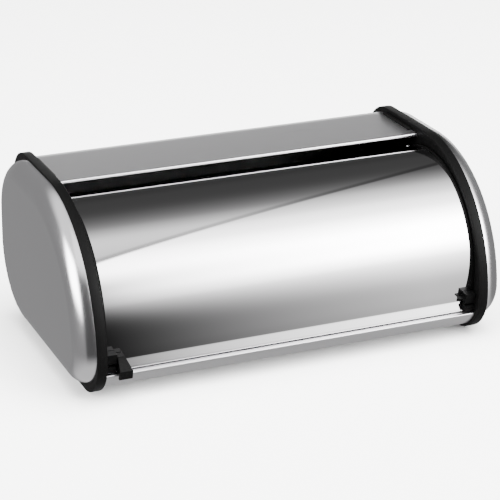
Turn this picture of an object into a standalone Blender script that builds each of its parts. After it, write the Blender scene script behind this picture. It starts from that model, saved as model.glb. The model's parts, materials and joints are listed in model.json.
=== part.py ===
"""Bread box with a roll top, as an assembly of separate pieces.

A stainless wrap (body_shell) runs from the front lip under the box, up the back and over the
top. Its two ends sit in black moulded end frames, and a pressed stainless cap closes each frame.
A polished curved door rolls about door_axis in grooves in the two frames.

Frame: +X to the right, +Y to the back, +Z up. Origin on the table, under the middle of the box.
Units are metres. Side outlines are lists of (y, z).
"""
import math

import bmesh
import bpy
from mathutils import Matrix, Vector

mm = 0.001

# Overall sizes
frame_span = 390 * mm        # between the outer faces of the two end frames
depth = 250 * mm             # front to back over the frames
frame_height = 172 * mm      # frame alone, without its foot pads
cap_depth = 18 * mm          # how far an end cap stands out of its frame

# Side outline of the frames
front_radius = 129 * mm      # long curve from the flat top down to the front
front_foot_radius = 42 * mm
rear_foot_radius = 69 * mm
rear_top_radius = 41 * mm
rear_lean = math.radians(3)  # the back leans forward towards the top

# End frames
rim_width = 9.6 * mm         # along X
web = 2.6 * mm               # side wall inside the rim
flange_width = 3.8 * mm      # lip over the top panel's end
flange_wall = 1.4 * mm
flange_start = 13.0 * mm     # behind the hem of the top panel
flange_length = 56.0 * mm
spigot_width = 4.0 * mm      # ledge inside the shell
spigot_wall = 2.0 * mm
bite = 1.5 * mm              # how far an added shape runs into the side wall

# Sheet metal
sheet = 0.6 * mm
shell_inset = 3.0 * mm       # shell face below the frame outline, back, bottom and front
shell_top_inset = 6.0 * mm   # and at the top
shell_top_radius = 36 * mm
hem_drop = 3.2 * mm
hem_return = 7.0 * mm
lip_return = 9.0 * mm
bend = 1.5 * mm              # outer radius of the hem and lip bends

# End caps
cap_inset = 1.0 * mm
cap_lift = 9.6 * mm          # the caps stop above the frame feet
cap_top_radius = 62 * mm
cap_front_foot_radius = 38 * mm
cap_seat = 2.7 * mm          # depth of the cap edge in its groove
cap_land = 3.0 * mm          # frame wall inside the cap groove

# Door: angles in degrees about the door axis, level at the front is 0, up and back is positive
door_radius = 96 * mm        # outer face
door_front_inset = 12.5 * mm  # behind the front of the frames
door_top_inset = 14.5 * mm   # below the top of the frames
door_low = -15.7             # where the sheet turns out into the finger lip
door_high = 115.0
door_travel = 95.0
door_side_gap = 0.5 * mm     # trims and blocks to the frame walls
hem_behind_axis = 27.0 * mm
lip_out = 2.6 * mm           # finger lip: a straight flare, outwards and down
lip_fall = 10.2 * mm
lip_back = 8.0 * mm          # and its return under the door
notch_reach = 12 * mm        # cut of the lip's ends, to each side of the door's face
notch_rise = 0.4             # degrees above the lip
trim_width = 2.5 * mm
trim_wall = 0.8 * mm

# Guide blocks and grooves
tongue_depth = 3.2 * mm
tongue_wall = 2.4 * mm
tongue_play = 0.4 * mm
groove_boss = 2.4 * mm       # wall round the groove
groove_floor = 1.44 * mm     # and behind it
tongue_ease = 0.4            # degrees taken off a tongue's ends
block_width = 10.2 * mm
block_low = -14.6            # degrees
block_high = -9.1
block_stand = 8.0 * mm
rib_length = 5.0 * mm        # thin rib from the right corner block along the door
rib_angles = (-12.6, -11.8)
slider_angles = 5.0          # degrees of arc
slider_depth = 5.5 * mm
ledge_width = 10.0 * mm
ledge_low = -19.4            # degrees
ledge_high = -15.8
ledge_reach = (2.0 * mm, 9.0 * mm)  # outside the door face
bumper_width = 5.6 * mm
bumper_clear = 4.0 * mm      # bumper to the side wall
grip_low = -21.5             # degrees
grip_high = -11.0
grip_size = 12.0 * mm        # along X
grip_top = 6.2 * mm
grip_crown = 8.5 * mm        # outside the door face, at its top
grip_clear = 1.9 * mm        # inside of its hooked lower end to the shell's front face
grip_wall = 3.8 * mm         # and the wall there
grip_step = -19.0            # degrees, top of the hooked end
grip_ease = 0.8              # degrees taken off its corners
grip_seat = (0.1, 0.7)       # shares of the flare where it starts and stops to lie on it

# Feet and fasteners
pad_size = (6.4 * mm, 16 * mm, 2.2 * mm)
pad_stand = 1.0 * mm
pad_rows = (12 * mm, 37 * mm)  # from the front and rear ends of the flat underside
screw_head = (2.2 * mm, 1.1 * mm)
screw_shank = (1.1 * mm, 5.0 * mm)
screw_dome = (0.7, 0.4)      # shares of the head's radius at its top and of its height at its rim
back_screws = (0.1, 0.9)     # shares of the flat back, from its foot
under_screws = (0.3, 0.8)    # shares of the flat underside, from the front
lug_size = (10 * mm, 10 * mm)
lug_wall = 7.0 * mm
lug_clear = 0.36 * mm        # lug to the inside of the shell

gap = 0.3 * mm               # between pieces that seat on each other

curve_steps = 13             # facets of a corner arc of the side outlines
long_curve_steps = 26        # and of the long front arc

# Worked out from the sizes above
half_span = frame_span / 2
wall_x = half_span - rim_width
frame_low = pad_stand
frame_top = frame_low + frame_height
front_y = -depth / 2
rear_y = depth / 2
arc_centre = (front_y + front_radius, frame_top - front_radius)
axis_y = front_y + door_front_inset + door_radius
axis_z = frame_top - door_top_inset - door_radius
hem_y = axis_y + hem_behind_axis
groove_mid = door_radius - sheet / 2


def clear_scene():
    for item in list(bpy.data.objects):
        bpy.data.objects.remove(item, do_unlink=True)


def material(name, colour, metallic, roughness):
    found = bpy.data.materials.get(name)
    if found:
        return found
    made = bpy.data.materials.new(name)
    made.use_nodes = True
    shader = made.node_tree.nodes["Principled BSDF"]
    shader.inputs["Base Color"].default_value = (*colour, 1)
    shader.inputs["Metallic"].default_value = metallic
    shader.inputs["Roughness"].default_value = roughness
    return made


def finish(kind):
    looks = {
        "satin_steel": ((0.42, 0.42, 0.43), 1.0, 0.32),
        "polished_steel": ((0.55, 0.55, 0.56), 1.0, 0.08),
        "black_plastic": ((0.012, 0.011, 0.011), 0.0, 0.42),
        "black_rubber": ((0.02, 0.02, 0.02), 0.0, 0.8),
        "zinc_screw": ((0.5, 0.5, 0.5), 1.0, 0.35),
    }
    return material(kind, *looks[kind])


def add_object(name, mesh, kind, parent=None):
    """Put a closed bmesh in the scene as one named piece."""
    bmesh.ops.remove_doubles(mesh, verts=mesh.verts, dist=1e-7)
    bmesh.ops.recalc_face_normals(mesh, faces=mesh.faces)
    data = bpy.data.meshes.new(name)
    mesh.to_mesh(data)
    mesh.free()
    data.materials.append(finish(kind))
    data.shade_smooth()
    data.set_sharp_from_angle(angle=math.radians(30))
    piece = bpy.data.objects.new(name, data)
    piece.parent = parent
    bpy.context.scene.collection.objects.link(piece)
    return piece


def combine(piece, operation, *tools):
    """Boolean with tool objects, which are guides and not part of the model."""
    for tool in tools:
        tool.hide_render = True
        tool.display_type = "WIRE"
        step = piece.modifiers.new(tool.name, "BOOLEAN")
        step.operation = operation
        step.object = tool
    return piece


def arc(centre, radius, start, end, steps):
    """Points on an arc; angles in degrees from +Y towards +Z."""
    points = []
    for k in range(steps + 1):
        angle = math.radians(start + (end - start) * k / steps)
        points.append((centre[0] + radius * math.cos(angle), centre[1] + radius * math.sin(angle)))
    return points


def prism(outline, x_low, x_high):
    """Outline of (y, z) extruded along X."""
    mesh = bmesh.new()
    base = [mesh.verts.new((x_low, y, z)) for y, z in outline]
    face = mesh.faces.new(base)
    pushed = bmesh.ops.extrude_face_region(mesh, geom=[face])["geom"]
    moved = [item for item in pushed if isinstance(item, bmesh.types.BMVert)]
    bmesh.ops.translate(mesh, verts=moved, vec=(x_high - x_low, 0, 0))
    return mesh


def span(side, near, far):
    """X limits of a piece at the right (side 1) or left (side -1) end."""
    return (near, far) if side > 0 else (-far, -near)


def corner_centres(inset, top_r, rear_r, front_r, lift, top_inset=None):
    """Centres of the three corner arcs of a side outline, and its front arc radius."""
    low = frame_low + inset + lift
    top = frame_top - (inset if top_inset is None else top_inset)
    big = front_radius - inset
    slope = (math.cos(rear_lean), math.sin(rear_lean))
    # the back touches rear_y where its lower corner ends
    touch_z = frame_low + rear_foot_radius
    reach = slope[0] * (rear_y - rear_foot_radius) + slope[1] * touch_z + rear_foot_radius - inset

    def rear_centre(radius, z):
        return ((reach - radius - slope[1] * z) / slope[0], z)

    front_z = low + front_r
    offset = front_z - arc_centre[1]
    front = (arc_centre[0] - math.sqrt((big - front_r) ** 2 - offset ** 2), front_z)
    return rear_centre(top_r, top - top_r), rear_centre(rear_r, low + rear_r), front, big


def side_outline(inset, top_r, rear_r, front_r, lift=0.0):
    """Closed side outline: rear top corner, rear foot, front foot, long front arc."""
    top_c, rear_c, front_c, big = corner_centres(inset, top_r, rear_r, front_r, lift)
    lean = math.degrees(rear_lean)
    meet = math.degrees(math.atan2(front_c[1] - arc_centre[1], front_c[0] - arc_centre[0])) % 360
    points = arc(top_c, top_r, 90, lean, curve_steps)
    points += arc(rear_c, rear_r, lean, -90, curve_steps)
    points += arc(front_c, front_r, -90, meet - 360, curve_steps)
    points += arc(arc_centre, big, meet, 90, long_curve_steps)[1:]
    return points


def frame_outline(inset):
    return side_outline(inset, rear_top_radius - inset, rear_foot_radius - inset, front_foot_radius - inset)


def cap_outline(inset):
    total = cap_inset + inset
    return side_outline(total, cap_top_radius - inset, rear_foot_radius - inset,
                        cap_front_foot_radius - inset, cap_lift)


def shell_corners(offset):
    """Corner centres and radii of the shell's line moved outwards by offset."""
    inset = shell_inset - offset
    radii = (shell_top_radius + offset, rear_foot_radius - inset, front_foot_radius - inset)
    top_c, rear_c, front_c, _ = corner_centres(inset, *radii, 0.0, shell_top_inset - offset)
    return (top_c, rear_c, front_c), radii


def shell_run(offset, top_y, front_z):
    """The shell's line, moved outwards by offset: top edge, back, underside, front lip."""
    (top_c, rear_c, front_c), (top_r, rear_r, front_r) = shell_corners(offset)
    lean = math.degrees(rear_lean)
    stop = -180 + math.degrees(math.asin((front_c[1] - front_z) / front_r))
    points = [(top_y, top_c[1] + top_r)]
    points += arc(top_c, top_r, 90, lean, curve_steps)
    points += arc(rear_c, rear_r, lean, -90, curve_steps)
    points += arc(front_c, front_r, -90, stop, curve_steps)
    return points


def normals(path):
    """Left-hand unit normals of an open path, at its points, for mitred offsets."""
    result = []
    for k in range(len(path)):
        before = path[max(k - 1, 0)]
        here = path[k]
        after = path[min(k + 1, len(path) - 1)]
        one = Vector((here[0] - before[0], here[1] - before[1])) if k else None
        two = Vector((after[0] - here[0], after[1] - here[1])) if k < len(path) - 1 else None
        sides = [Vector((-v.y, v.x)).normalized() for v in (one, two) if v is not None]
        middle = sum(sides, Vector((0, 0))).normalized()
        result.append(middle / middle.dot(sides[0]))
    return result


def thicken(path, wall):
    """Closed band from a path and its copy, offset to the path's left by wall."""
    inner = [(p[0] + n.x * wall, p[1] + n.y * wall) for p, n in zip(path, normals(path))]
    return path + inner[::-1]


def polar(radius, angle):
    """Point by radius from the door axis and degrees from level at the front."""
    turn = math.radians(angle)
    return (-radius * math.cos(turn), radius * math.sin(turn))


def door_band(inner, outer, low, high, steps):
    """Closed outline of an arc band round the door axis, in the axis's own frame."""
    angles = [low + (high - low) * k / steps for k in range(steps + 1)]
    return [polar(outer, a) for a in angles] + [polar(inner, a) for a in reversed(angles)]


def at_axis(outline):
    return [(y + axis_y, z + axis_z) for y, z in outline]


def degrees_of(length, radius=door_radius):
    return math.degrees(length / radius)


def fastener_places():
    """Point and outward direction of the frame screws: two at the back, two underneath."""
    (top_c, rear_c, front_c), (top_r, rear_r, _) = shell_corners(0.0)
    out = Vector((math.cos(rear_lean), math.sin(rear_lean)))
    low_end = Vector(rear_c) + out * rear_r
    high_end = Vector(top_c) + out * top_r
    floor_z = rear_c[1] - rear_r
    run = rear_c[0] - front_c[0]
    return {
        "back_low": (low_end.lerp(high_end, back_screws[0]), out),
        "back_high": (low_end.lerp(high_end, back_screws[1]), out),
        "under_front": (Vector((front_c[0] + run * under_screws[0], floor_z)), Vector((0, -1))),
        "under_rear": (Vector((front_c[0] + run * under_screws[1], floor_z)), Vector((0, -1))),
    }


def lug_outline(point, out, near, far):
    """Rectangle on the shell at a screw: across the screw's direction, near to far from the face."""
    along = Vector((-out.y, out.x)) * lug_size[1] / 2
    corners = (point + along + out * near, point - along + out * near,
               point - along + out * far, point + along + out * far)
    return [tuple(c) for c in corners]


def turned(profile, segments=14):
    """Solid turned about Z from (radius, z) pairs that start and end on the axis."""
    mesh = bmesh.new()
    line = [mesh.verts.new((r, 0, z)) for r, z in profile]
    edges = [mesh.edges.new(pair) for pair in zip(line, line[1:])]
    bmesh.ops.spin(mesh, geom=line + edges, cent=(0, 0, 0), axis=(0, 0, 1), angle=math.tau,
                   steps=segments, use_merge=True)
    bmesh.ops.remove_doubles(mesh, verts=mesh.verts, dist=1e-7)
    return mesh


def screw_profile():
    """Pan-head screw along +Z: head above z = 0, shank below."""
    head_r, head_h = screw_head
    shank_r, length = screw_shank
    return [(0, -length), (shank_r, -length), (shank_r, 0), (head_r, 0),
            (head_r, head_h * screw_dome[1]), (head_r * screw_dome[0], head_h), (0, head_h)]


def hole_profile():
    wide = screw_shank[0] + gap
    deep = -screw_shank[1] - gap
    return [(0, deep), (wide, deep), (wide, 3 * gap), (0, 3 * gap)]


def place_turned(name, profile, kind, where, direction, parent=None):
    """Turned piece with its +Z along direction."""
    piece = add_object(name, turned(profile), kind, parent)
    piece.matrix_local = Matrix.Translation(where) @ direction.to_track_quat("Z", "Y").to_matrix().to_4x4()
    return piece


def frame_screw_seat(side, place):
    point, out = fastener_places()[place]
    seat = point + out * gap
    x = side * (wall_x - lug_size[0] / 2)
    return Vector((x, seat.x, seat.y)), Vector((0, out.x, out.y))


def lip_corner():
    """Foot of the finger lip, from the door axis."""
    start = Vector(polar(door_radius, door_low))
    return start + Vector((-lip_out, -lip_fall))


def lip_top():
    """Height of the shell's front lip, just under the closed door's finger lip."""
    return axis_z + lip_corner().y - 2 * gap


def shell_reach():
    """Distance from the door axis to the shell's face at its front lip."""
    y, z = shell_run(0.0, hem_y + bend, lip_top() - bend)[-1]
    return math.hypot(y - axis_y, z - axis_z)


def make_shell():
    """Stainless wrap with a folded hem over the door and a turned lip at the front."""
    top = frame_top - shell_top_inset
    run = shell_run(0.0, hem_y + bend, lip_top() - bend)
    hem = [(hem_y + hem_return, top - hem_drop)]
    hem += arc((hem_y + bend, top - hem_drop + bend), bend, -90, -180, 4)
    hem += arc((hem_y + bend, top - bend), bend, 180, 90, 4)[:-1]
    end = run[-1]
    lip = arc((end[0] + bend, end[1]), bend, 180, 90, 4)
    lip += [(end[0] + lip_return, lip_top())]
    mesh = prism(thicken(hem + run + lip[1:], -sheet), -(wall_x - gap), wall_x - gap)
    shell = add_object("body_shell", mesh, "satin_steel")
    for side in (1, -1):
        for place in fastener_places():
            where, direction = frame_screw_seat(side, place)
            name = "shell_hole_%s_%d" % (place, side)
            combine(shell, "DIFFERENCE", place_turned(name, hole_profile(), "zinc_screw", where, direction))
    return shell


def flange_outline():
    """Lip over the end of the top panel, with rounded ends."""
    base = frame_top - shell_top_inset + gap
    front = hem_y + flange_start
    back = front + flange_length
    ends = arc((back - flange_wall, base), flange_wall, 0, 90, 4)
    ends += arc((front + flange_wall, base), flange_wall, 90, 180, 4)
    return ends


def make_frame(side):
    """Moulded end frame: rim, side wall, door groove, panel flange, spigot, ledge and lugs."""
    end = "right" if side > 0 else "left"
    mesh = prism(frame_outline(0.0), *span(side, wall_x, half_span))
    frame = add_object("end_frame_" + end, mesh, "black_plastic")

    def tool(name, outline, near, far):
        shape = prism(outline, *span(side, near, far))
        return add_object("tool_%s_%s" % (name, end), shape, "black_plastic")

    def add(name, outline, width, depth_in=bite):
        combine(frame, "UNION", tool(name, outline, wall_x - width, wall_x + depth_in))

    outside = half_span + rim_width
    pocket = cap_outline(sheet + cap_land)
    combine(frame, "DIFFERENCE", tool("pocket", pocket, wall_x + web, outside))
    play = tongue_wall / 2 + tongue_play
    groove_low = block_low - 1.0
    groove_high = door_high + door_travel + 1.0
    boss_depth = tongue_depth + tongue_play + door_side_gap
    boss = at_axis(door_band(groove_mid - play - groove_boss, groove_mid + play + groove_boss,
                             groove_low - 2, groove_high + 2, 40))
    combine(frame, "UNION", tool("boss", boss, wall_x + bite, wall_x + boss_depth + groove_floor))
    add("flange", flange_outline(), flange_width)
    spigot_run = shell_run(-sheet - gap, hem_y + flange_start, lip_top() - 2 * sheet - gap - spigot_wall)
    add("spigot", thicken(spigot_run, -spigot_wall), spigot_width)
    near, far = ledge_reach
    ledge = door_band(door_radius + near, door_radius + far, ledge_low, ledge_high, 2)
    add("ledge", at_axis(ledge), ledge_width)
    for place, (point, out) in fastener_places().items():
        lug = lug_outline(point, out, -sheet - lug_clear, -sheet - gap - lug_wall)
        add("lug_" + place, lug, lug_size[0])
    groove = at_axis(door_band(groove_mid - play, groove_mid + play, groove_low, groove_high, 48))
    combine(frame, "DIFFERENCE", tool("groove", groove, wall_x - bite, wall_x + boss_depth))
    ring = tool("cap_ring", cap_outline(-gap), half_span - cap_seat - gap, outside)
    core = tool("cap_core", cap_outline(sheet + gap), half_span - 2 * cap_seat, outside + rim_width)
    combine(ring, "DIFFERENCE", core)
    combine(frame, "DIFFERENCE", ring)
    for place in fastener_places():
        where, direction = frame_screw_seat(side, place)
        name = "frame_hole_%s_%s" % (place, end)
        combine(frame, "DIFFERENCE", place_turned(name, hole_profile(), "zinc_screw", where, direction))
    for row, centre in foot_places(side).items():
        room = (pad_size[0] + 2 * gap, pad_size[1] + 2 * gap, pad_size[2] + gap)
        seat = centre + Vector((0, 0, gap / 2))
        combine(frame, "DIFFERENCE", box("recess_%s_%s" % (row, end), seat, room, "black_plastic"))
    return frame


def box(name, centre, size, kind, parent=None):
    mesh = bmesh.new()
    bmesh.ops.create_cube(mesh, size=1.0, matrix=Matrix.Translation(centre) @ Matrix.Diagonal((*size, 1)))
    return add_object(name, mesh, kind, parent)


def foot_places(side):
    _, rear_c, front_c, _ = corner_centres(0.0, rear_top_radius, rear_foot_radius, front_foot_radius, 0.0)
    x = side * (half_span - rim_width / 2)
    z = pad_size[2] / 2
    return {"front": Vector((x, front_c[0] + pad_rows[0], z)),
            "rear": Vector((x, rear_c[0] - pad_rows[0], z))}


def make_cap(side):
    """Pressed pan: straight edge in the frame groove, quarter-round corner, flat face."""
    end = "right" if side > 0 else "left"
    round_r = cap_depth
    steps = 7
    outer = [(0.0, half_span - cap_seat)]
    outer += [(round_r * (1 - math.cos(a)), half_span + round_r * math.sin(a))
              for a in (math.pi / 2 * k / steps for k in range(steps + 1))]
    small = round_r - sheet
    inner = [(round_r - small * math.cos(a), half_span + small * math.sin(a))
             for a in (math.pi / 2 * k / steps for k in range(steps, -1, -1))]
    inner += [(sheet, half_span - cap_seat)]
    mesh = bmesh.new()
    rings = []
    for inset, x in outer + inner:
        rings.append([mesh.verts.new((side * x, y, z)) for y, z in cap_outline(inset)])
    for one, two in zip(rings, rings[1:] + rings[:1]):
        if one is rings[len(outer) - 1]:
            continue
        for k in range(len(one)):
            after = (k + 1) % len(one)
            mesh.faces.new((one[k], one[after], two[after], two[k]))
    mesh.faces.new(rings[len(outer) - 1])
    mesh.faces.new(rings[len(outer)])
    return add_object("end_cap_" + end, mesh, "satin_steel")


def slider_middle():
    return door_high - slider_angles / 2


def door_screw_places():
    """Angle, distance along X and direction (1 outwards) of each screw in the door, by name."""
    places = {}
    for side, end in ((1, "right"), (-1, "left")):
        x = side * (wall_x - door_side_gap - block_width / 2)
        places["corner_screw_" + end] = ((block_low + block_high) / 2, x, 1)
        places["slider_screw_" + end] = (slider_middle(), x, -1)
    places["grip_screw"] = ((grip_high + door_low) / 2, grip_left() + grip_top * 0.7, 1)
    return places


def grip_left():
    return -(wall_x - door_side_gap - block_width - 2 * gap)


def turn_in_door(name, profile, axis, screw):
    """Turned shape at a door screw's place, seated on the sheet from inside or outside."""
    place, x, way = door_screw_places()[screw]
    y, z = polar(1.0, place)
    base = door_radius - sheet - gap if way > 0 else door_radius + gap
    seat = Vector((x, *polar(base, place)))
    return place_turned(name, profile, "zinc_screw", seat, Vector((0, -way * y, -way * z)), axis)


def door_hole(target, axis, screw):
    name = "hole_%s_%s" % (target.name, screw)
    combine(target, "DIFFERENCE", turn_in_door(name, hole_profile(), axis, screw))


def lip_line():
    """Line of the finger lip, from the foot of the door's arc: flare, small roll, return."""
    start = Vector(polar(door_radius, door_low))
    corner = lip_corner()
    way = (corner - start).normalized()
    roll = bend * 0.6
    line = [start, corner - way * roll]
    line += [corner - way * 0.3 * roll + Vector((0.3 * roll, 0)), corner + Vector((roll, 0))]
    line += [corner + Vector((lip_back, 0))]
    return [tuple(point) for point in line]


def flare_point(share):
    """Point just outside the flare, at a share of its length."""
    start = Vector(polar(door_radius, door_low))
    run = lip_corner() - start
    outward = Vector((run.y, -run.x)).normalized()
    return tuple(start + run * share + outward * gap)


def make_door(axis):
    """Curved polished sheet with its lower edge rolled out into a finger lip."""
    half = wall_x - door_side_gap - trim_wall - gap
    steps = 34
    arc_line = [polar(door_radius, door_high + (door_low - door_high) * k / steps) for k in range(steps)]
    mesh = prism(thicken(arc_line + lip_line(), sheet), -half, half)
    door = add_object("door_panel", mesh, "polished_steel", axis)
    lip_half = wall_x - ledge_width - 2 * gap
    notch = door_band(door_radius - notch_reach, door_radius + notch_reach, 2 * door_low,
                      door_low + notch_rise, 4)
    for side, end in ((1, "right"), (-1, "left")):
        cut = prism(notch, *span(side, lip_half, half_span))
        combine(door, "DIFFERENCE", add_object("tool_notch_" + end, cut, "black_plastic", axis))
    for name in door_screw_places():
        door_hole(door, axis, name)
    return door


def corner_piece(name, side, low, high, near, far, screw, axis):
    """Plastic piece at a door corner, with an end wall and a tongue for the groove."""
    outer_x = wall_x - door_side_gap
    inner_face = groove_mid - tongue_wall / 2
    outer_face = groove_mid + tongue_wall / 2
    slack = 0.05
    body = prism(door_band(near, far, low, high, 3), *span(side, outer_x - block_width, outer_x))
    piece = add_object(name, body, "black_plastic", axis)

    def add(label, outline, x_near, x_far):
        tool = add_object("tool_%s_%s" % (label, name), prism(outline, *span(side, x_near, x_far)),
                          "black_plastic", axis)
        combine(piece, "UNION", tool)

    wall_near, wall_far = min(inner_face, near + bite), max(outer_face, far - bite)
    wall = door_band(wall_near, wall_far, low + slack, high - slack, 3)
    add("wall", wall, outer_x - trim_wall, outer_x - slack * mm)
    tongue = door_band(inner_face + slack * mm, outer_face - slack * mm, low + tongue_ease, high - tongue_ease, 3)
    add("tongue", tongue, outer_x - trim_wall / 2, outer_x + door_side_gap + tongue_depth)
    if far > door_radius and side > 0:
        rib = door_band(near + slack * mm, near + rib_length, *rib_angles, 1)
        add("rib", rib, outer_x - block_width - rib_length, outer_x - block_width + bite)
    door_hole(piece, axis, screw)
    return piece


def make_trim(side, axis):
    """Thin plastic channel over the door's curved end, between the corner pieces."""
    end = "right" if side > 0 else "left"
    clear = degrees_of(2 * gap)
    low = block_high + clear
    high = door_high - slider_angles - clear
    outer_x = wall_x - door_side_gap
    channel = door_band(door_radius - sheet - gap - trim_wall, door_radius + gap + trim_wall, low, high, 30)
    mesh = prism(channel, *span(side, outer_x - trim_width, outer_x))
    trim = add_object("door_edge_trim_" + end, mesh, "black_plastic", axis)
    slot = prism(door_band(door_radius - sheet - gap, door_radius + gap, low - 1, high + 1, 32),
                 *span(side, outer_x - 2 * trim_width, outer_x - trim_wall))
    combine(trim, "DIFFERENCE", add_object("tool_slot_" + end, slot, "black_plastic", axis))
    return trim


def make_grip(axis):
    """Finger tab over the finger lip, at the left only: narrow at its top, hooked at its foot."""
    near = door_radius + gap
    top_out = door_radius + grip_crown
    hook = shell_reach() + grip_clear
    low_out = hook + grip_wall
    outline = [polar(near, grip_high), polar(near, door_low + grip_ease / 2),
               flare_point(grip_seat[0]), flare_point(grip_seat[1]), polar(hook, grip_step), polar(hook, grip_low),
               polar(low_out - bend, grip_low), polar(low_out, grip_low + grip_ease),
               polar(low_out - 0.3 * bend, (grip_low + grip_high) / 2),
               polar(top_out, grip_high - grip_ease / 4), polar(top_out - bend, grip_high)]
    left = grip_left()
    grip = add_object("grip_tab", prism(outline, left, left + grip_size), "black_plastic", axis)
    top_z = polar(top_out, grip_high)[1] + bend
    mid_z = polar(low_out, (grip_low + grip_high) / 2)[1]
    far = left + 2 * grip_size
    above = top_z + 2 * grip_size
    corners = ((left + grip_top, top_z), (left + grip_size, mid_z), (far, mid_z), (far, above),
               (left + grip_top, above))
    slope = bmesh.new()
    back_y = -door_radius / 2
    face = slope.faces.new([slope.verts.new((x, back_y, z)) for x, z in corners])
    moved = bmesh.ops.extrude_face_region(slope, geom=[face])["geom"]
    moved = [item for item in moved if isinstance(item, bmesh.types.BMVert)]
    bmesh.ops.translate(slope, verts=moved, vec=(0, -door_radius, 0))
    combine(grip, "DIFFERENCE", add_object("tool_grip_slant", slope, "black_plastic", axis))
    door_hole(grip, axis, "grip_screw")
    return grip


def make_bumper(side):
    """Soft pad on the frame's ledge, under the closed door's corner block."""
    end = "right" if side > 0 else "left"
    near, far = ledge_reach
    small = degrees_of(gap)
    outline = at_axis(door_band(door_radius + near + gap, door_radius + far - 2 * bite, ledge_high + small,
                                block_low - small, 1))
    mesh = prism(outline, *span(side, wall_x - bumper_clear - bumper_width, wall_x - bumper_clear))
    return add_object("door_bumper_" + end, mesh, "black_rubber")


def build():
    clear_scene()
    axis = bpy.data.objects.new("door_axis", None)
    axis.location = (0, axis_y, axis_z)
    bpy.context.scene.collection.objects.link(axis)
    make_shell()
    inner_near = door_radius - sheet - gap - slider_depth
    inner_far = door_radius - sheet - gap
    for side, end in ((1, "right"), (-1, "left")):
        make_frame(side)
        make_cap(side)
        make_trim(side, axis)
        corner_piece("door_corner_block_" + end, side, block_low, block_high, door_radius + gap,
                     door_radius + block_stand, "corner_screw_" + end, axis)
        corner_piece("door_slider_" + end, side, door_high - slider_angles, door_high, inner_near, inner_far,
                     "slider_screw_" + end, axis)
        make_bumper(side)
        for place in fastener_places():
            where, direction = frame_screw_seat(side, place)
            place_turned("frame_screw_%s_%s" % (place, end), screw_profile(), "zinc_screw", where, direction)
        for row, centre in foot_places(side).items():
            box("foot_pad_%s_%s" % (row, end), centre, pad_size, "black_rubber")
    make_door(axis)
    make_grip(axis)
    for name in door_screw_places():
        turn_in_door(name, screw_profile(), axis, name)


build()
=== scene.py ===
import json
import math

import bmesh
import bpy
import numpy as np
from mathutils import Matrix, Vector


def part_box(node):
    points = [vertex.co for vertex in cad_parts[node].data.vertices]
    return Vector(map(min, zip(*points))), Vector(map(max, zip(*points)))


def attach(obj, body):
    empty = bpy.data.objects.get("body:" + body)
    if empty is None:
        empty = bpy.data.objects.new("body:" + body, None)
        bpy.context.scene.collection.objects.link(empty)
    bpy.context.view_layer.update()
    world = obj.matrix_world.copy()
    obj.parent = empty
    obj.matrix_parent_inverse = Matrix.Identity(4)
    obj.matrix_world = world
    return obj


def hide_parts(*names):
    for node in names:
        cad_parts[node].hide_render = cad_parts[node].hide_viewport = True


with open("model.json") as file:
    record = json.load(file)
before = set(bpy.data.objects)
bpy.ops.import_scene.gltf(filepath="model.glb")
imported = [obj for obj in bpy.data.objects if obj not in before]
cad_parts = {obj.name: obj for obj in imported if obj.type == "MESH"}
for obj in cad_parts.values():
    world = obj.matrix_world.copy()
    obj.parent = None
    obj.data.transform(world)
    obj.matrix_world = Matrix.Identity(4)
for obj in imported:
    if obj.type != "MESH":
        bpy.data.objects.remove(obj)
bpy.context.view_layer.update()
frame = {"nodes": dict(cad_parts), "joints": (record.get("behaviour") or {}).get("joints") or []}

# Bread box with a roll top. Lengths are in metres, side outlines are rows of (y, z),
# and angles about the door's axis are in degrees: 0 is level at the front, 90 is straight up.

mm = 0.001
doorAxis = np.array(frame["joints"][0]["pos_m"][1:])
mergeReach = 0.002 * mm  # corners nearer than this are one
sharpAngle = 32.0  # degrees between faces past which an edge stays sharp
print("frame loaded, door axis at", doorAxis)

# the two end frames, whose outline the wrap and the caps follow; the reaches say how near a corner
# or an edge lies to the outline, and to the rim's faces, to count as part of the rim
endFrame = {
    "span": 390 * mm, "depth": 250 * mm, "height": 172 * mm, "stand": 1 * mm,
    "frontRadius": 129 * mm, "frontFoot": 42 * mm, "rearFoot": 69 * mm, "rearTop": 41 * mm,
    "rearLean": 3.0, "rimWidth": 9.6 * mm, "edgeRound": 0.55 * mm, "innerRound": 1.1 * mm,
    "roundSteps": 4, "cornerReach": 0.25 * mm, "edgeReach": 0.35 * mm, "planeReach": 0.01 * mm,
    "spotsPerStep": 24,
}
outlineSteps = {"corner": 26, "rearFoot": 36, "front": 70, "back": 8, "under": 16, "top": 10}
sheetSteel = {"wall": 0.6 * mm, "inset": 3 * mm, "topInset": 6 * mm, "topRadius": 36 * mm, "gap": 0.3 * mm}

halfSpan = endFrame["span"] / 2
wallX = halfSpan - endFrame["rimWidth"]
frameLow = endFrame["stand"]
frameTop = frameLow + endFrame["height"]
frontCentre = np.array([endFrame["frontRadius"] - endFrame["depth"] / 2,
                        frameTop - endFrame["frontRadius"]])


def arc(centre, radius, start, end, count):
    # points on a circle, angles in degrees from +y towards +z
    turn = np.radians(np.linspace(start, end, count))
    return np.asarray(centre) + radius * np.column_stack([np.cos(turn), np.sin(turn)])


def straight(first, last, count):
    # the inner points of a straight run, without its two ends
    share = np.linspace(0, 1, count + 2)[1:-1, None]
    return np.asarray(first) * (1 - share) + np.asarray(last) * share


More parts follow.
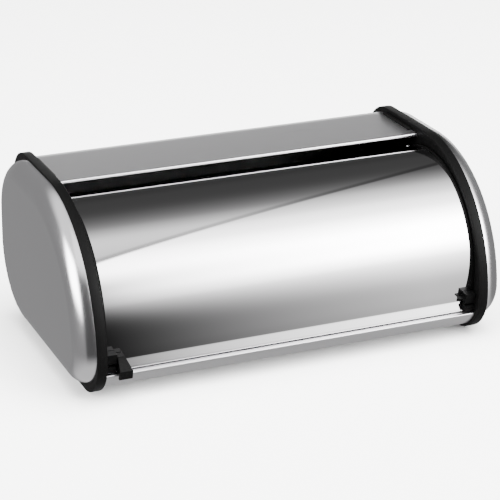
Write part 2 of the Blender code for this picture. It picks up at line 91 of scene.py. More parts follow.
def cornerCentres(inset, topR, rearR, frontR, lift=0.0, topInset=None):
    # centres of the rear top, rear foot and front foot arcs of a side outline
    low = frameLow + inset + lift
    top = frameTop - (inset if topInset is None else topInset)
    lean = np.radians(endFrame["rearLean"])
    out = np.array([np.cos(lean), np.sin(lean)])
    depthHalf = endFrame["depth"] / 2
    touch = np.array([depthHalf - endFrame["rearFoot"], frameLow + endFrame["rearFoot"]])
    reach = out @ touch + endFrame["rearFoot"] - inset
    topZ, rearZ, frontZ = top - topR, low + rearR, low + frontR
    topC = np.array([(reach - topR - out[1] * topZ) / out[0], topZ])
    rearC = np.array([(reach - rearR - out[1] * rearZ) / out[0], rearZ])
    run = endFrame["frontRadius"] - inset - frontR
    frontC = np.array([frontCentre[0] - np.sqrt(run ** 2 - (frontZ - frontCentre[1]) ** 2), frontZ])
    return topC, rearC, frontC


def sideOutline(inset, topR, rearR, frontR, lift=0.0):
    # closed outline, always with the same number of points: rear top corner, back, rear foot,
    # underside, front foot, long front arc, flat top
    topC, rearC, frontC = cornerCentres(inset, topR, rearR, frontR, lift)
    big = endFrame["frontRadius"] - inset
    lean = endFrame["rearLean"]
    meet = np.degrees(np.arctan2(*(frontC - frontCentre)[::-1])) % 360
    steps = outlineSteps
    topArc = arc(topC, topR, 90, lean, steps["corner"])
    rearArc = arc(rearC, rearR, lean, -90, steps["rearFoot"])
    footArc = arc(frontC, frontR, -90, meet - 360, steps["corner"])
    bigArc = arc(frontCentre, big, meet, 90, steps["front"])[1:]
    return np.vstack([topArc, straight(topArc[-1], rearArc[0], steps["back"]), rearArc,
                      straight(rearArc[-1], footArc[0], steps["under"]), footArc, bigArc,
                      straight(bigArc[-1], topArc[0], steps["top"])])


def frameOutline(inset):
    # an end frame's own outline, moved inwards by inset
    return sideOutline(inset, endFrame["rearTop"] - inset, endFrame["rearFoot"] - inset,
                       endFrame["frontFoot"] - inset)


def roundedLine(corners, radii, count):
    # an open line through corners, each inner corner replaced by a tangent arc of its radius, or
    # less where a side is too short for it; the arc turns its start into its end at even angles
    longest = 0.48  # share of a side that one arc may take
    corners = [np.asarray(c, float) for c in corners]
    parts = [corners[0][None]]
    for before, here, after, radius in zip(corners, corners[1:], corners[2:], radii):
        lengthIn, lengthOut = np.linalg.norm(before - here), np.linalg.norm(after - here)
        one, two = (before - here) / lengthIn, (after - here) / lengthOut
        half = np.arccos(np.clip(one @ two, -1, 1)) / 2
        back = min(radius / np.tan(half), longest * lengthIn, longest * lengthOut)
        share = np.linspace(0, 1, count)[:, None]
        centre = here + (one + two) / np.linalg.norm(one + two) * back / np.cos(half)
        start, end = here + one * back - centre, here + two * back - centre
        sweep = np.arccos(np.clip(start @ end / (start @ start), -1, 1))
        fromStart, toEnd = np.sin((1 - share) * sweep), np.sin(share * sweep)
        parts.append(centre + (fromStart * start + toEnd * end) / np.sin(sweep))
    parts.append(corners[-1][None])
    return np.vstack(parts)


def offsetLine(line, distance):
    # the line moved to its left by distance, square to the chord between each point's neighbours
    step = np.gradient(line, axis=0)
    side = np.column_stack([-step[:, 1], step[:, 0]])
    return line + side / np.linalg.norm(side, axis=1)[:, None] * distance


def polar(radius, angle):
    # place by radius and angle about the door's axis
    turn = np.radians(angle)
    return np.stack([-radius * np.cos(turn), radius * np.sin(turn)], -1) + doorAxis


def gridQuads(rows, cols, closed=False):
    # corner numbers of the cells of a rows x cols grid; closed joins the last row to the first
    top = np.arange(rows if closed else rows - 1)[:, None]
    left = np.arange(cols - 1)[None, :]
    here = top * cols + left
    below = (top + 1) % rows * cols + left
    return np.stack([here, here + 1, below + 1, below], -1)


def pieceFrom(name, points, faces, body, material, nodes=(), sharp=sharpAngle):
    # one finished piece: shared corners merged, faces turned outwards, smooth where it is round
    mesh = bpy.data.meshes.new(name)
    mesh.from_pydata(np.asarray(points).reshape(-1, 3).tolist(), [], faces)
    work = bmesh.new()
    work.from_mesh(mesh)
    bmesh.ops.remove_doubles(work, verts=work.verts, dist=mergeReach)
    bmesh.ops.delete(work, geom=[v for v in work.verts if not v.link_faces], context="VERTS")
    bmesh.ops.recalc_face_normals(work, faces=work.faces)
    work.to_mesh(mesh)
    work.free()
    mesh.shade_smooth()
    mesh.set_sharp_from_angle(angle=math.radians(sharp))
    mesh.materials.append(material)
    piece = bpy.data.objects.new(name, mesh)
    bpy.context.scene.collection.objects.link(piece)
    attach(piece, body)
    if nodes:
        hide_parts(*nodes)
    return piece


def sheetFaces(rows, cols, keep=None):
    # both skins of a sheet and the walls round its edges: an edge is on the rim when no
    # neighbouring cell runs along it the other way
    quads = gridQuads(rows, cols)
    front = quads[keep] if keep is not None else quads.reshape(-1, 4)
    count = rows * cols
    edges = np.stack([front, np.roll(front, -1, axis=1)], -1).reshape(-1, 2)
    rim = edges[~np.isin(edges[:, 0] * count + edges[:, 1], edges[:, 1] * count + edges[:, 0])]
    walls = np.column_stack([rim[:, 1], rim[:, 0], rim[:, 0] + count, rim[:, 1] + count])
    return np.vstack([front, front[:, ::-1] + count, walls]).tolist()


def alongX(line, xs):
    # a line of (y, z) carried along x: rows follow the line, columns follow x
    grid = np.empty((len(line), len(xs), 3))
    grid[..., 0] = xs
    grid[..., 1:] = line[:, None, :]
    return grid


def ringStack(rings):
    # closed rings of (x, y, z) joined one after another; the first and last close to a point
    stack = np.stack(rings, 1)
    return stack, gridQuads(stack.shape[0], stack.shape[1], closed=True).reshape(-1, 4)


def hexColour(code):
    # sRGB hex to linear: the low part of the curve is a straight line, the rest a power of 2.4
    value = np.array([int(code[k:k + 2], 16) for k in (1, 3, 5)]) / 255
    return (*np.where(value <= 0.04045, value / 12.92, ((value + 0.055) / 1.055) ** 2.4), 1)


def addNode(tree, kind, settings=None, inputs=None):
    # a node with its settings, and its inputs set to values or linked to sockets
    node = tree.nodes.new(kind)
    for key, value in (settings or {}).items():
        setattr(node, key, value)
    for key, value in (inputs or {}).items():
        if isinstance(value, bpy.types.NodeSocket):
            tree.links.new(value, node.inputs[key])
        else:
            node.inputs[key].default_value = value
    return node


def newMaterial(name, colour, metallic, roughness, **sockets):
    # a plain material of one colour; sockets are set by name, with _ for a space
    material = bpy.data.materials.new(name)
    material.use_nodes = True
    shader = material.node_tree.nodes["Principled BSDF"]
    shader.inputs["Base Color"].default_value = hexColour(colour)
    shader.inputs["Metallic"].default_value = metallic
    shader.inputs["Roughness"].default_value = roughness
    for key, value in sockets.items():
        shader.inputs[key.replace("_", " ")].default_value = value
    return material, material.node_tree, shader


def mirrorPolishedStainless():
    # 430 stainless, cold rolled and buffed: a near mirror, with the long soft waves that rolling
    # leaves in a thin sheet and a trace of buffing haze. Waves 400 mm long and 111 mm apart;
    # buffing streaks 333 mm long and 2 mm apart, as finer ones would not show
    material, tree, shader = newMaterial("mirrorPolishedStainless", "#cfcecf", 1.0, 0.05)
    waveLong, waveAcross = 1 / (400 * mm), 1 / (111 * mm)
    streakLong, streakAcross = 1 / (333 * mm), 1 / (2 * mm)
    place = addNode(tree, "ShaderNodeTexCoord").outputs["Object"]
    wave = addNode(tree, "ShaderNodeMapping",
                   inputs={"Vector": place, "Scale": (waveLong, waveAcross, waveAcross)}).outputs[0]
    waves = addNode(tree, "ShaderNodeTexNoise",
                    inputs={"Vector": wave, "Scale": 1.0, "Detail": 1.0}).outputs["Fac"]
    shape = addNode(tree, "ShaderNodeBump",
                    inputs={"Height": waves, "Strength": 0.3, "Distance": 0.6 * mm})
    tree.links.new(shape.outputs[0], shader.inputs["Normal"])
    streak = addNode(tree, "ShaderNodeMapping",
                     inputs={"Vector": place, "Scale": (streakLong, streakAcross, streakAcross)}).outputs[0]
    haze = addNode(tree, "ShaderNodeTexNoise",
                   inputs={"Vector": streak, "Scale": 1.0, "Detail": 3.0}).outputs["Fac"]
    level = addNode(tree, "ShaderNodeMapRange", inputs={"Value": haze, "To Min": 0.012, "To Max": 0.04})
    tree.links.new(level.outputs[0], shader.inputs["Roughness"])
    return material


def satinStainless(name, roughness, grainAxis, relief):
    # 430 stainless with a fine belt-ground satin: hairlines 0.3 mm apart and some 60 mm long along
    # the grain, and a soft broad sheen across it
    material, tree, shader = newMaterial(name, "#c7c6c8", 1.0, roughness)
    place = addNode(tree, "ShaderNodeTexCoord").outputs["Object"]
    hair, length = 1 / (0.3 * mm), 1 / (60 * mm)
    scale = [length if axis == grainAxis else hair for axis in range(3)]
    lines = addNode(tree, "ShaderNodeMapping", inputs={"Vector": place, "Scale": scale}).outputs[0]
    grain = addNode(tree, "ShaderNodeTexNoise",
                    inputs={"Vector": lines, "Scale": 1.0, "Detail": 2.0}).outputs["Fac"]
    level = addNode(tree, "ShaderNodeMapRange",
                    inputs={"Value": grain, "To Min": roughness * 0.8, "To Max": roughness * 1.25})
    tree.links.new(level.outputs[0], shader.inputs["Roughness"])
    bump = addNode(tree, "ShaderNodeBump",
                   inputs={"Height": grain, "Strength": relief, "Distance": 0.02 * mm})
    tree.links.new(bump.outputs[0], shader.inputs["Normal"])
    return material


def mouldedPolypropylene():
    # black polypropylene from a spark-eroded mould: a fine 0.4 mm grain and a low, broad sheen
    # that varies in patches of about 14 mm
    material, tree, shader = newMaterial("mouldedPolypropylene", "#040404", 0.0, 0.42, IOR=1.49,
                                         Specular_IOR_Level=0.06)
    place = addNode(tree, "ShaderNodeTexCoord").outputs["Object"]
    grain = addNode(tree, "ShaderNodeTexNoise",
                    inputs={"Vector": place, "Scale": 1 / (0.4 * mm), "Detail": 2.0}).outputs["Fac"]
    bump = addNode(tree, "ShaderNodeBump",
                   inputs={"Height": grain, "Strength": 0.18, "Distance": 0.05 * mm})
    tree.links.new(bump.outputs[0], shader.inputs["Normal"])
    patch = addNode(tree, "ShaderNodeTexNoise",
                    inputs={"Vector": place, "Scale": 1 / (14 * mm), "Detail": 3.0}).outputs["Fac"]
    level = addNode(tree, "ShaderNodeMapRange", inputs={"Value": patch, "To Min": 0.4, "To Max": 0.55})
    tree.links.new(level.outputs[0], shader.inputs["Roughness"])
    return material


def softRubber():
    # black thermoplastic rubber, moulded and matt, greyed in specks of about 3 mm
    material, tree, shader = newMaterial("softMouldedRubber", "#161515", 0.0, 0.78, IOR=1.52,
                                         Specular_IOR_Level=0.3)
    place = addNode(tree, "ShaderNodeTexCoord").outputs["Object"]
    dust = addNode(tree, "ShaderNodeTexNoise",
                   inputs={"Vector": place, "Scale": 1 / (3 * mm), "Detail": 4.0}).outputs["Fac"]
    tone = addNode(tree, "ShaderNodeMix", {"data_type": "RGBA"},
                   {"Factor": dust, "A": hexColour("#121111"), "B": hexColour("#232222")})
    tree.links.new(tone.outputs["Result"], shader.inputs["Base Color"])
    return material


def zincPlate():
    # bright zinc over steel: pale grey, its sheen mottled in spots of about 1.2 mm
    material, tree, shader = newMaterial("brightZincPlate", "#c4c6c8", 1.0, 0.3)
    place = addNode(tree, "ShaderNodeTexCoord").outputs["Object"]
    mottle = addNode(tree, "ShaderNodeTexNoise",
                     inputs={"Vector": place, "Scale": 1 / (1.2 * mm), "Detail": 3.0}).outputs["Fac"]
    level = addNode(tree, "ShaderNodeMapRange", inputs={"Value": mottle, "To Min": 0.22, "To Max": 0.42})
    tree.links.new(level.outputs[0], shader.inputs["Roughness"])
    return material


polished = mirrorPolishedStainless()
satinPanel = satinStainless("satinStainlessSheet", 0.3, 0, 0.14)
satinCap = satinStainless("satinStainlessPressing", 0.19, 1, 0.4)
plastic = mouldedPolypropylene()
rubber = softRubber()
zinc = zincPlate()
print("materials ready")


# angles in degrees; throat and lipRoll are the bends above and below the straight flare
door = {
    "radius": 96 * mm, "low": -15.7, "high": 115.0, "sideGap": 0.5 * mm, "trimWall": 0.8 * mm,
    "lipOut": 2.6 * mm, "lipFall": 10.2 * mm, "lipBack": 8.0 * mm, "lipRoll": 1.1 * mm,
    "throat": 2.2 * mm, "throatAngle": 1.6, "ledge": 10 * mm,
    "arcSteps": 190, "bendSteps": 9, "flareSteps": 6, "acrossSteps": 41,
}


def makeDoor():
    # the arc of the sheet, then a straight flare outwards and down, a small roll and a return;
    # the line is carried along x, and the lip stops short of the frames' ledges at both ends
    half = wallX - door["sideGap"] - door["trimWall"] - sheetSteel["gap"]
    start = polar(door["radius"], door["low"])
    corner = start - [door["lipOut"], door["lipFall"]]
    angles = np.linspace(door["high"], door["low"] + door["throatAngle"], door["arcSteps"])
    sheet = polar(door["radius"], angles)
    bend = door["bendSteps"]
    lip = roundedLine([sheet[-1], start, corner, corner + [door["lipBack"], 0]],
                      [door["throat"], door["lipRoll"]], bend)
    flare = straight(lip[bend], lip[bend + 1], door["flareSteps"])
    line = np.vstack([sheet, lip[1:bend + 1], flare, lip[bend + 1:]])
    lipHalf = wallX - door["ledge"] - 2 * sheetSteel["gap"]
    xs = np.unique(np.concatenate([np.linspace(-half, half, door["acrossSteps"]), [-lipHalf, lipHalf]]))
    outer, inner = alongX(line, xs), alongX(offsetLine(line, sheetSteel["wall"]), xs)
    keep = np.ones((len(line) - 1, len(xs) - 1), bool)
    beyond = np.abs((xs[:-1] + xs[1:]) / 2) > lipHalf
    keep[len(sheet) - 1:, beyond] = False
    return pieceFrom("doorSheet", np.vstack([outer.reshape(-1, 3), inner.reshape(-1, 3)]),
                     sheetFaces(len(line), len(xs), keep), "door", polished,
                     ["door_panel"])


makeDoor()
print("door made")


# the hem is the folded front edge of the top panel; the lip turns in under the door's finger lip
wrap = {
    "hemBehindAxis": 27 * mm, "hemDrop": 3.2 * mm, "hemReturn": 7 * mm, "bend": 1.5 * mm,
    "lipReturn": 9 * mm, "lipLead": 0.1 * mm,
    "cornerSteps": 30, "rearFootSteps": 40, "bendSteps": 9, "acrossSteps": 25,
}


def wrapLine(topY, frontZ):
    # top edge, rear corner, back, underside and front, as far as the height frontZ
    inset = sheetSteel["inset"]
    topR, rearR = sheetSteel["topRadius"], endFrame["rearFoot"] - inset
    frontR = endFrame["frontFoot"] - inset
    topC, rearC, frontC = cornerCentres(inset, topR, rearR, frontR, 0.0, sheetSteel["topInset"])
    lean = endFrame["rearLean"]
    stop = -180 + np.degrees(np.arcsin((frontC[1] - frontZ) / frontR))
    topArc = arc(topC, topR, 90, lean, wrap["cornerSteps"])
    rearArc = arc(rearC, rearR, lean, -90, wrap["rearFootSteps"])
    footArc = arc(frontC, frontR, -90, stop, wrap["cornerSteps"])
    first = [topY, topC[1] + topR]
    return np.vstack([first, straight(first, topArc[0], outlineSteps["top"]), topArc,
                      straight(topArc[-1], rearArc[0], outlineSteps["back"]), rearArc,
                      straight(rearArc[-1], footArc[0], outlineSteps["under"]), footArc])


def makeWrap():
    # one sheet carried along x: hem return, folded hem, top, back, underside, front, turned lip
    hemY = doorAxis[0] + wrap["hemBehindAxis"]
    top = frameTop - sheetSteel["topInset"]
    low = top - wrap["hemDrop"]
    lipZ = polar(door["radius"], door["low"])[1] - door["lipFall"] - 2 * sheetSteel["gap"]
    run = wrapLine(hemY + 2 * wrap["bend"], lipZ - wrap["bend"])
    hem = roundedLine([[hemY + wrap["hemReturn"], low], [hemY, low], [hemY, top], run[0]],
                      [wrap["bend"]] * 2, wrap["bendSteps"])
    foot = run[-1]
    lip = roundedLine([foot - [0, wrap["lipLead"]], [foot[0], lipZ], [foot[0] + wrap["lipReturn"], lipZ]],
                      [wrap["bend"]], wrap["bendSteps"])
    line = np.vstack([hem[:-1], run, lip[1:]])
    half = wallX - sheetSteel["gap"]
    xs = np.linspace(-half, half, wrap["acrossSteps"])
    outer, inner = alongX(line, xs), alongX(offsetLine(line, -sheetSteel["wall"]), xs)
    return pieceFrom("steelWrap", np.vstack([outer.reshape(-1, 3), inner.reshape(-1, 3)]),
                     sheetFaces(len(line), len(xs)), "box", satinPanel, ["body_shell"])


makeWrap()
print("wrap made")


# the caps are shallow pans pressed from sheet, seated in the frames' side walls
cap = {
    "inset": 1 * mm, "lift": 9.6 * mm, "topRadius": 62 * mm, "frontFoot": 38 * mm, "seat": 2.7 * mm,
    "depth": 18 * mm, "crown": 0.5 * mm, "roundSteps": 19, "faceShares": (0.97, 0.9, 0.75, 0.55, 0.3, 0.0),
}


def capOutline(inset):
    # a cap's outline, moved inwards by inset
    total = cap["inset"] + inset
    return sideOutline(total, cap["topRadius"] - inset, endFrame["rearFoot"] - inset,
                       cap["frontFoot"] - inset, cap["lift"])


def makeCap(side, end):
    # rings of the cap's outline: straight edge, quarter round, then a nearly flat face that rises
    # to its middle as a shallow crown, by one less the share squared, to the power 1.5; the inner
    # skin is the same less the sheet
    def skin(wall):
        turn = np.linspace(0, np.pi / 2, cap["roundSteps"])
        radius = cap["depth"] - wall
        insets = [wall, *(cap["depth"] - radius * np.cos(turn))]
        xs = [halfSpan - cap["seat"], *(halfSpan + radius * np.sin(turn) - cap["crown"])]
        rings = []
        for inset, x in zip(insets, xs):
            line = capOutline(inset)
            rings.append(np.column_stack([np.full(len(line), x), line]))
        flat = rings[-1]
        middle = flat[:, 1:].mean(axis=0)
        for share in cap["faceShares"]:
            ring = flat.copy()
            ring[:, 1:] = middle + (flat[:, 1:] - middle) * share
            ring[:, 0] += cap["crown"] * (1 - share ** 2) ** 1.5
            rings.append(ring)
        return rings

    outer, inner = skin(0.0), skin(sheetSteel["wall"])
    points, faces = ringStack(outer[::-1] + inner)
    points[..., 0] *= side
    return pieceFrom("endCap" + end, points, faces.tolist(), "box", satinCap,
                     ["end_cap_" + end.lower()])


for side, end in ((1, "Right"), (-1, "Left")):
    makeCap(side, end)
print("end caps made")


# pieces that keep their modelled shape, with softened edges; angles in degrees
fitting = {
    "block": 0.5 * mm, "slider": 0.3 * mm, "bumper": 0.3 * mm, "grip": 0.9 * mm,
    "steps": 2, "flatAngle": 0.8, "edgeAngle": 40.0,
}


def roundRim(work):
    # rounds the two long edges of an end frame's rim, which are the edges lying on its outline
    line = frameOutline(0.0)
    ahead = np.roll(line, -1, axis=0)
    share = np.linspace(0, 1, endFrame["spotsPerStep"], endpoint=False)[:, None, None]
    outline = (line * (1 - share) + ahead * share).reshape(-1, 2)

    def away(point):
        return np.min(np.hypot(*(outline - [point.y, point.z]).T))

    for x, width in ((wallX, endFrame["innerRound"]), (halfSpan, endFrame["edgeRound"])):
        ends = {v for v in work.verts
                if abs(abs(v.co.x) - x) < endFrame["planeReach"] and away(v.co) < endFrame["cornerReach"]}
        chain = [e for e in work.edges if e.verts[0] in ends and e.verts[1] in ends
                 and away((e.verts[0].co + e.verts[1].co) / 2) < endFrame["edgeReach"]]
        bmesh.ops.bevel(work, geom=chain, offset=width, segments=endFrame["roundSteps"], profile=0.5,
                        affect="EDGES", clamp_overlap=False)


def softened(node, body, material, width):
    # a copy of the node, merged, its flat faces joined again, its edges rounded by width
    source = frame["nodes"][node]
    work = bmesh.new()
    work.from_mesh(source.data)
    bmesh.ops.remove_doubles(work, verts=work.verts, dist=mergeReach)
    bmesh.ops.dissolve_limit(work, angle_limit=math.radians(fitting["flatAngle"]), verts=work.verts,
                             edges=work.edges)
    if "end_frame" in node:
        roundRim(work)
    mesh = bpy.data.meshes.new(node + "Soft")
    work.to_mesh(mesh)
    work.free()
    mesh.materials.clear()
    mesh.materials.append(material)
    mesh.shade_smooth()
    mesh.set_sharp_from_angle(angle=math.radians(sharpAngle))
    piece = bpy.data.objects.new(node + "_soft", mesh)
    bpy.context.scene.collection.objects.link(piece)
    if width:
        edge = piece.modifiers.new("edgeRound", "BEVEL")
        edge.width = width
        edge.segments = fitting["steps"]
        edge.limit_method = "ANGLE"
        edge.angle_limit = math.radians(fitting["edgeAngle"])
    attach(piece, body)
    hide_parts(node)
    return piece


for end in ("right", "left"):
    softened("end_frame_" + end, "box", plastic, 0)
    softened("door_edge_trim_" + end, "door", plastic, 0)
    softened("door_corner_block_" + end, "door", plastic, fitting["block"])
    softened("door_slider_" + end, "door", plastic, fitting["slider"])
    softened("door_bumper_" + end, "box", rubber, fitting["bumper"])
softened("grip_tab", "door", plastic, fitting["grip"])
print("frames and door fittings made")


footPad = {"round": 0.9 * mm, "steps": 6}  # thin rubber strips under the frames


def makePad(node):
    # a box with round edges: a ball's surface whose eight octants are moved apart to the box's
    # corners, so that the flat sides lie between them
    low, high = (np.array(corner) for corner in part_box(node))
    middle, core = (low + high) / 2, (high - low) / 2 - footPad["round"]
    quarter = np.linspace(0, np.pi / 2, footPad["steps"])
    turn = np.concatenate([quarter + k * np.pi / 2 for k in range(4)])
    cornerX = np.repeat([1, -1, -1, 1], len(quarter))
    cornerY = np.repeat([1, 1, -1, -1], len(quarter))
    rings = []
    for half, tilts in ((-1, quarter[::-1]), (1, quarter)):
        for tilt in tilts:
            flat = footPad["round"] * np.cos(tilt)
            height = half * (core[2] + footPad["round"] * np.sin(tilt))
            ring = np.column_stack([cornerX * core[0] + flat * np.cos(turn),
                                    cornerY * core[1] + flat * np.sin(turn), np.full(len(turn), height)])
            rings.append(ring + middle)
    closed = [np.tile([*middle[:2], ring[0, 2]], (len(turn), 1)) for ring in (rings[0], rings[-1])]
    points, faces = ringStack([closed[0], *rings, closed[1]])
    return pieceFrom(node + "_pad", points, faces.tolist(), "box", rubber, [node])


for end in ("right", "left"):
    for row in ("front", "rear"):
        makePad("foot_pad_%s_%s" % (row, end))
print("foot pads made")


# all thirteen screws are alike; the soft widths blur the recess's walls so that they slope
screw = {
    "headRadius": 2.2 * mm, "headRound": 0.1 * mm, "headHeight": 1.1 * mm, "rim": 0.35 * mm,
    "rimTop": 0.75, "domePower": 2.4,
    "recess": 0.7 * mm, "recessReach": 1.25 * mm, "recessWidth": 0.3 * mm,
    "softSide": 0.03 * mm, "softEnd": 0.04 * mm,
    "shank": 1.1 * mm, "pitch": 0.8 * mm, "thread": 0.16 * mm, "plain": 0.3 * mm, "tip": 0.6,
    "turnSteps": 48, "headSteps": 22, "threadSteps": 24, "sharpAngle": 38.0,
}


def screwAxis(node):
    # the middle of the head's top and the way it faces: the way is the one of the node's three main
    # directions along which it is longest, pointing to the half that is wider
    spots = np.array([v.co for v in frame["nodes"][node].data.vertices])
    spots = np.unique(np.round(spots, 7), axis=0)
    centre = (spots.min(axis=0) + spots.max(axis=0)) / 2
    mainWays = np.linalg.svd(spots - spots.mean(axis=0))[2]
    way = mainWays[int(np.argmax([np.ptp((spots - centre) @ each) for each in mainWays]))]
    along = (spots - centre) @ way
    out = np.linalg.norm((spots - centre) - along[:, None] * way, axis=1)
    if out[along > 0].max() < out[along < 0].max():
        way, along = -way, -along
    widest = out > 0.9 * out.max()
    top = spots[widest].mean(axis=0)
    top = top + way * (along.max() - (top - centre) @ way)
    return top, way, np.ptp(along)


def makeScrew(node):
    # pan head with a cross recess and a threaded shank, turned about the node's own long axis:
    # the top falls to the rim with a power of the radius, less the recess where the point is near
    # either arm; the shank's radius ripples with the angle and the depth together
    top, way, length = screwAxis(node)
    side = np.cross(way, [1.0, 0.0, 0.0]) if abs(way[0]) < 0.9 else np.cross(way, [0.0, 1.0, 0.0])
    side /= np.linalg.norm(side)
    other = np.cross(way, side)
    turn = np.linspace(0, 2 * np.pi, screw["turnSteps"], endpoint=False)

    def ring(radius, depth):
        # radius and depth may each vary round the ring
        radius, depth = np.broadcast_to(radius, turn.shape), np.broadcast_to(depth, turn.shape)
        return (top - way * depth[:, None] + side * (radius * np.cos(turn))[:, None]
                + other * (radius * np.sin(turn))[:, None])

    rings = []
    headHeight, shank = screw["headHeight"], screw["shank"]
    for share in np.linspace(0, 1, screw["headSteps"]):
        radius = share * (screw["headRadius"] - screw["headRound"])
        fall = (headHeight - screw["rim"]) * share ** screw["domePower"]
        arm = np.minimum(np.abs(radius * np.cos(turn)), np.abs(radius * np.sin(turn)))
        inArm = 1 / (1 + np.exp((arm - screw["recessWidth"]) / screw["softSide"]))
        inReach = 1 / (1 + np.exp((radius - screw["recessReach"]) / screw["softEnd"]))
        rings.append(ring(radius, fall + screw["recess"] * inArm * inReach))
    rings += [ring(screw["headRadius"], headHeight - screw["rim"] * screw["rimTop"]),
              ring(screw["headRadius"], headHeight), ring(shank, headHeight)]
    for depth in np.linspace(headHeight + screw["plain"], length - screw["plain"], screw["threadSteps"]):
        ripple = 0.5 - 0.5 * np.cos(turn - 2 * np.pi * depth / screw["pitch"])
        rings.append(ring(shank - screw["thread"] * ripple, depth))
    rings += [ring(shank * screw["tip"], length), ring(0.0, length)]
    points, faces = ringStack(rings)
    body = "box" if "frame" in node else "door"
    return pieceFrom(node + "_turned", points, faces.tolist(), body, zinc, [node],
                     screw["sharpAngle"])


for node in sorted(frame["nodes"]):
    if "screw" in node:
        makeScrew(node)
print("screws made")


# light levels are the world's own brightness; angles are in degrees, and in the two ramps 0 is
# level in front and 90 overhead
studio = {
    "floorTone": "#f4f4f3", "floorHalf": 9.0,
    "lens": 141.56, "tilt": 21.43, "turn": 22.81, "place": (-0.6802, -1.6232, 0.7665),
    "lightPlace": (0.3, -0.3, 2.4), "lightSize": (2.6, 2.6), "lightPower": 430,
    # right of the straight edge: the soft box in front, its glow on the table, the far wall
    "bright": [(-179, 0.5), (-90, 0.9), (-50, 1.2), (-20, 1.8), (5, 6.5), (18, 20), (33, 25), (48, 20),
               (64, 8), (80, 3.6), (98, 1.0), (115, 0.2), (140, 0.085), (160, 0.1), (168, 2.0), (175, 3.2)],
    # left of it: the paler ceiling
    "dim": [(-179, 0.5), (-60, 0.6), (-20, 0.14), (5, 0.07), (34, 0.1), (46, 1.6), (60, 1.7), (84, 1.8),
            (98, 0.5), (117, 0.13), (140, 0.085), (160, 0.1), (168, 2.0), (175, 3.2)],
    # the straight edge between the two lies where x leans on y and passes an offset
    "edgeLean": -0.165, "edgeOffset": 0.376, "edgeSoft": 0.003, "edgeDark": 0.45,
    "seamFade": (-0.016, -0.006),
    # where the bright ramp fades in: with x, all of it overhead, and later in x towards the table
    "sideFade": (0.27, 0.44), "overheadFade": (25, 72), "tableFade": (12, -18), "tableLag": 0.7,
    # the far wall on the right, and the left half: table, room, dark gap, second soft box, rear wall
    "wall": 0.34, "wallFoot": 0.9, "wallFade": (0.55, 0.85), "wallFootFade": (-60, -40),
    "table": 1.05, "tableEdge": (-60, -18), "room": 0.39, "roomTop": 1.9, "roomTopFade": (35, 60),
    "gap": 0.11, "gapTop": 3.0, "gapTopFade": (40, 56), "gapSpan": (-44, 40, 6),
    "secondBox": 20.0, "secondAcross": (-92, -52, 8), "secondHeight": (10, 48, 8),
    "rear": 0.39, "rearFade": (0.55, 0.8), "rearTop": (0.5, 0.3), "halvesFade": (0.14, 0.26),
}


def makeFloor():
    # a plain pale floor, left out of the steel's reflections, which the world's soft boxes give
    half = studio["floorHalf"]
    mesh = bpy.data.meshes.new("floor")
    mesh.from_pydata([(-half, -half, 0), (half, -half, 0), (half, half, 0), (-half, half, 0)], [],
                     [(0, 1, 2, 3)])
    material = newMaterial("paintedFloor", studio["floorTone"], 0.0, 0.9)[0]
    mesh.materials.append(material)
    floor = bpy.data.objects.new("floor", mesh)
    bpy.context.scene.collection.objects.link(floor)
    floor.visible_glossy = False


def rampOf(tree, value, stops):
    # a ramp over a full turn that holds light levels between 0.05 and 30 as the logarithm of
    # their share of that range, so that dark and bright parts both blend evenly
    lowest, span = 0.05, 600.0
    node = addNode(tree, "ShaderNodeValToRGB", inputs={"Fac": value})
    ramp = node.color_ramp
    ramp.interpolation = "CARDINAL"
    while len(ramp.elements) > 1:
        ramp.elements.remove(ramp.elements[-1])
    for k, (angle, level) in enumerate(stops):
        spot = (angle + 180) / 360
        mark = ramp.elements[0] if k == 0 else ramp.elements.new(spot)
        mark.position = spot
        grey = math.log(level / lowest) / math.log(span)
        mark.color = (grey, grey, grey, 1)
    power = addNode(tree, "ShaderNodeMath", {"operation": "POWER"}, {0: span, 1: node.outputs["Color"]})
    scaled = addNode(tree, "ShaderNodeMath", {"operation": "MULTIPLY"}, {0: power.outputs[0], 1: lowest})
    return scaled.outputs[0]


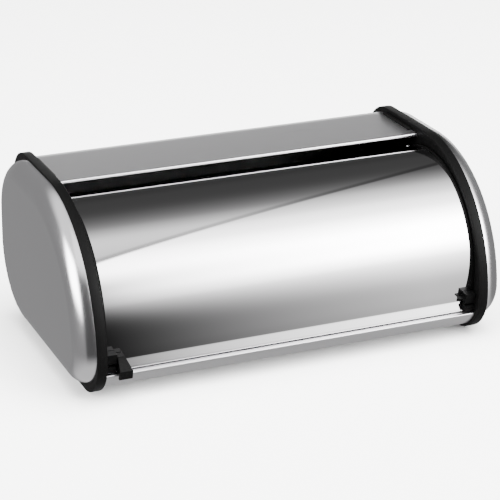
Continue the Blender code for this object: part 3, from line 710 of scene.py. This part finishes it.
def makeWorld():
    # a studio seen from the box: a bright soft box in front and to the right, a paler ceiling with a
    # straight edge between them, dark behind, and a grey table below
    world = bpy.data.worlds.new("studio")
    world.use_nodes = True
    bpy.context.scene.world = world
    tree = world.node_tree
    tree.nodes.clear()

    def calc(operation, *values):
        return addNode(tree, "ShaderNodeMath", {"operation": operation}, dict(enumerate(values))).outputs[0]

    def fade(value, low, high):
        return addNode(tree, "ShaderNodeMapRange", {"interpolation_type": "SMOOTHSTEP"},
                       {"Value": value, "From Min": low, "From Max": high}).outputs[0]

    def fadeAngle(value, low, high):
        return fade(value, math.radians(low), math.radians(high))

    def blend(share, low, high):
        mix = addNode(tree, "ShaderNodeMix", inputs={"Factor": share, "A": low, "B": high})
        return mix.outputs["Result"]

    def window(value, low, high, soft):
        # 1 between two angles, 0 outside them
        inside = fadeAngle(value, low - soft, low + soft)
        return calc("MULTIPLY", inside, calc("SUBTRACT", 1.0, fadeAngle(value, high - soft, high + soft)))

    way = addNode(tree, "ShaderNodeTexCoord").outputs["Generated"]
    x, y, z = addNode(tree, "ShaderNodeSeparateXYZ", inputs={"Vector": way}).outputs
    front = calc("MULTIPLY", y, -1.0)
    rise = calc("ARCTAN2", z, front)  # about the box's length
    turn = calc("MULTIPLY_ADD", rise, 0.5 / math.pi, 0.5)  # the same, as a share of a full turn
    across = calc("ARCTAN2", x, front)
    height = calc("ARCSINE", z)

    # the right: both ramps on their sides of the straight edge, then the far wall
    bright = rampOf(tree, turn, studio["bright"])
    dim = rampOf(tree, turn, studio["dim"])
    low, high = studio["sideFade"]
    side = addNode(tree, "ShaderNodeMapRange",
                   inputs={"Value": x, "From Min": low, "From Max": high}).outputs[0]
    overhead = fadeAngle(rise, *studio["overheadFade"])
    lag = calc("MULTIPLY_ADD", fadeAngle(rise, *studio["tableFade"]), studio["tableLag"], 1.0)
    side = calc("POWER", side, lag)
    share = calc("ADD", side, calc("MULTIPLY", overhead, calc("SUBTRACT", 1.0, side)))
    lean = calc("SUBTRACT", calc("MULTIPLY_ADD", y, studio["edgeLean"], x), studio["edgeOffset"])
    edge = fade(lean, -studio["edgeSoft"], studio["edgeSoft"])
    seam = calc("MULTIPLY", fade(lean, *studio["seamFade"]), calc("SUBTRACT", 1.0, edge))
    shade = calc("MULTIPLY_ADD", seam, -studio["edgeDark"], 1.0)
    rightHalf = calc("MULTIPLY", blend(edge, dim, calc("MULTIPLY", bright, share)), shade)
    wall = blend(fadeAngle(height, *studio["wallFootFade"]), studio["wallFoot"], studio["wall"])
    rightHalf = blend(fade(x, *studio["wallFade"]), rightHalf, wall)

    # the left: a grey room, a dark gap in front, a second soft box, the table and the rear wall
    room = blend(fadeAngle(height, *studio["roomTopFade"]), studio["room"], studio["roomTop"])
    gap = blend(fadeAngle(height, *studio["gapTopFade"]), studio["gap"], studio["gapTop"])
    room = blend(window(across, *studio["gapSpan"]), room, gap)
    inBox = calc("MULTIPLY", window(across, *studio["secondAcross"]), window(height, *studio["secondHeight"]))
    room = blend(inBox, room, studio["secondBox"])
    leftHalf = blend(fadeAngle(height, *studio["tableEdge"]), studio["table"], room)
    inRear = calc("MULTIPLY", fade(y, *studio["rearFade"]), fade(z, *studio["rearTop"]))
    leftHalf = blend(inRear, leftHalf, studio["rear"])

    total = blend(fade(x, *studio["halvesFade"]), leftHalf, rightHalf)
    back = addNode(tree, "ShaderNodeBackground", inputs={"Color": total})
    addNode(tree, "ShaderNodeOutputWorld", inputs={"Surface": back.outputs[0]})


def makeLight():
    # one broad soft light overhead, which lights the floor and the plastic but isn't reflected
    light = bpy.data.lights.new("topLight", "AREA")
    light.shape = "RECTANGLE"
    light.size, light.size_y = studio["lightSize"]
    light.energy = studio["lightPower"]
    lamp = bpy.data.objects.new("topLight", light)
    lamp.location = studio["lightPlace"]
    lamp.rotation_euler = (-Vector(studio["lightPlace"])).to_track_quat("-Z", "Y").to_euler()
    lamp.visible_glossy = False
    bpy.context.scene.collection.objects.link(lamp)


def makeCamera():
    data = bpy.data.cameras.new("camera")
    data.lens = studio["lens"]
    data.sensor_width = 36
    data.clip_end = 50
    camera = bpy.data.objects.new("camera", data)
    camera.location = studio["place"]
    camera.rotation_euler = (math.radians(90 - studio["tilt"]), 0, math.radians(-studio["turn"]))
    bpy.context.scene.collection.objects.link(camera)
    bpy.context.scene.camera = camera


makeFloor()
makeWorld()
makeLight()
makeCamera()
print("studio ready")
